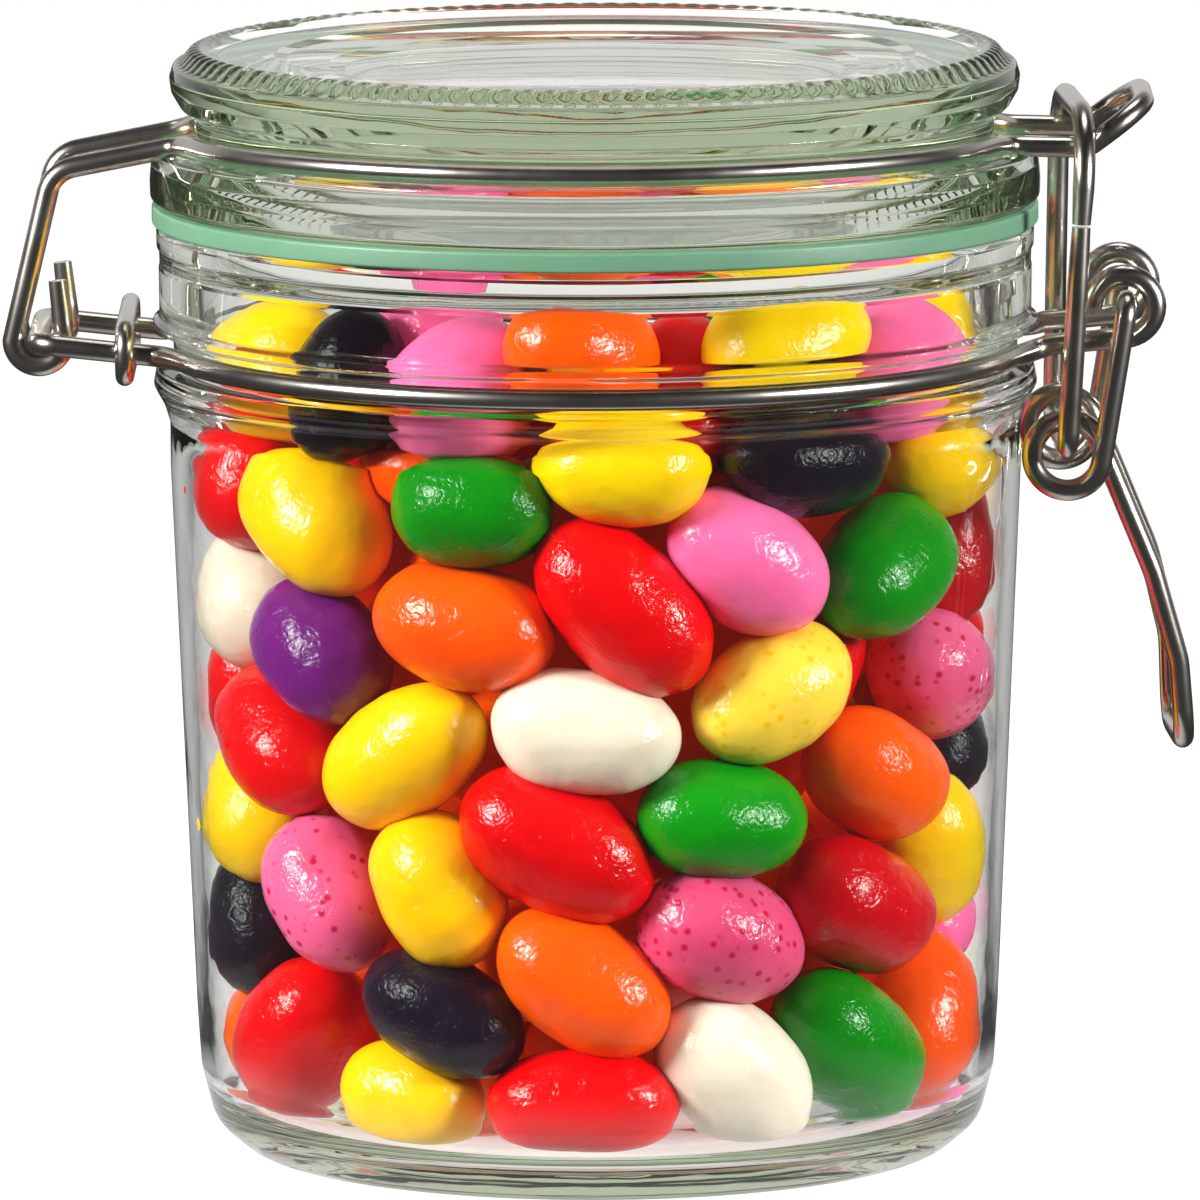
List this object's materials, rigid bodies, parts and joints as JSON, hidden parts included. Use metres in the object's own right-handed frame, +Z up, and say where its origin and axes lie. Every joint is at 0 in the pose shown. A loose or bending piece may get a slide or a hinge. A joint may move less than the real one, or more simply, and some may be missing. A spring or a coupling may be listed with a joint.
{
  "type": "jar of jelly beans",
  "caption": "Clip-top glass jar filled with jelly beans, shut, with a rubber ring, wire hinge and over-centre wire latch.",
  "frame": {"origin": "on the surface that the jar stands on, under the jar's axis", "axes": "+X from the hinge towards the latch, +Z up along the jar's axis, -Y towards the side seen in front"},
  "size_m": [0.1269, 0.0958, 0.1189],
  "materials": {
    "green_glass": "pressed clear glass with a green tint",
    "mint_rubber": "satin",
    "steel_wire": "drawn wire, bright",
    "sugar_shell": "glossy sugar shells in mixed colours"
  },
  "bodies": {
    "root": {"jar_glass": "green_glass", "lid_glass": "green_glass", "seal_ring": "mint_rubber", "jelly_beans": "sugar_shell", "neck_wire": "steel_wire", "lid_wire": "steel_wire", "latch_lever": "steel_wire", "latch_loop": "steel_wire", "hinge_clip": "steel_wire"}
  },
  "joints": []
}
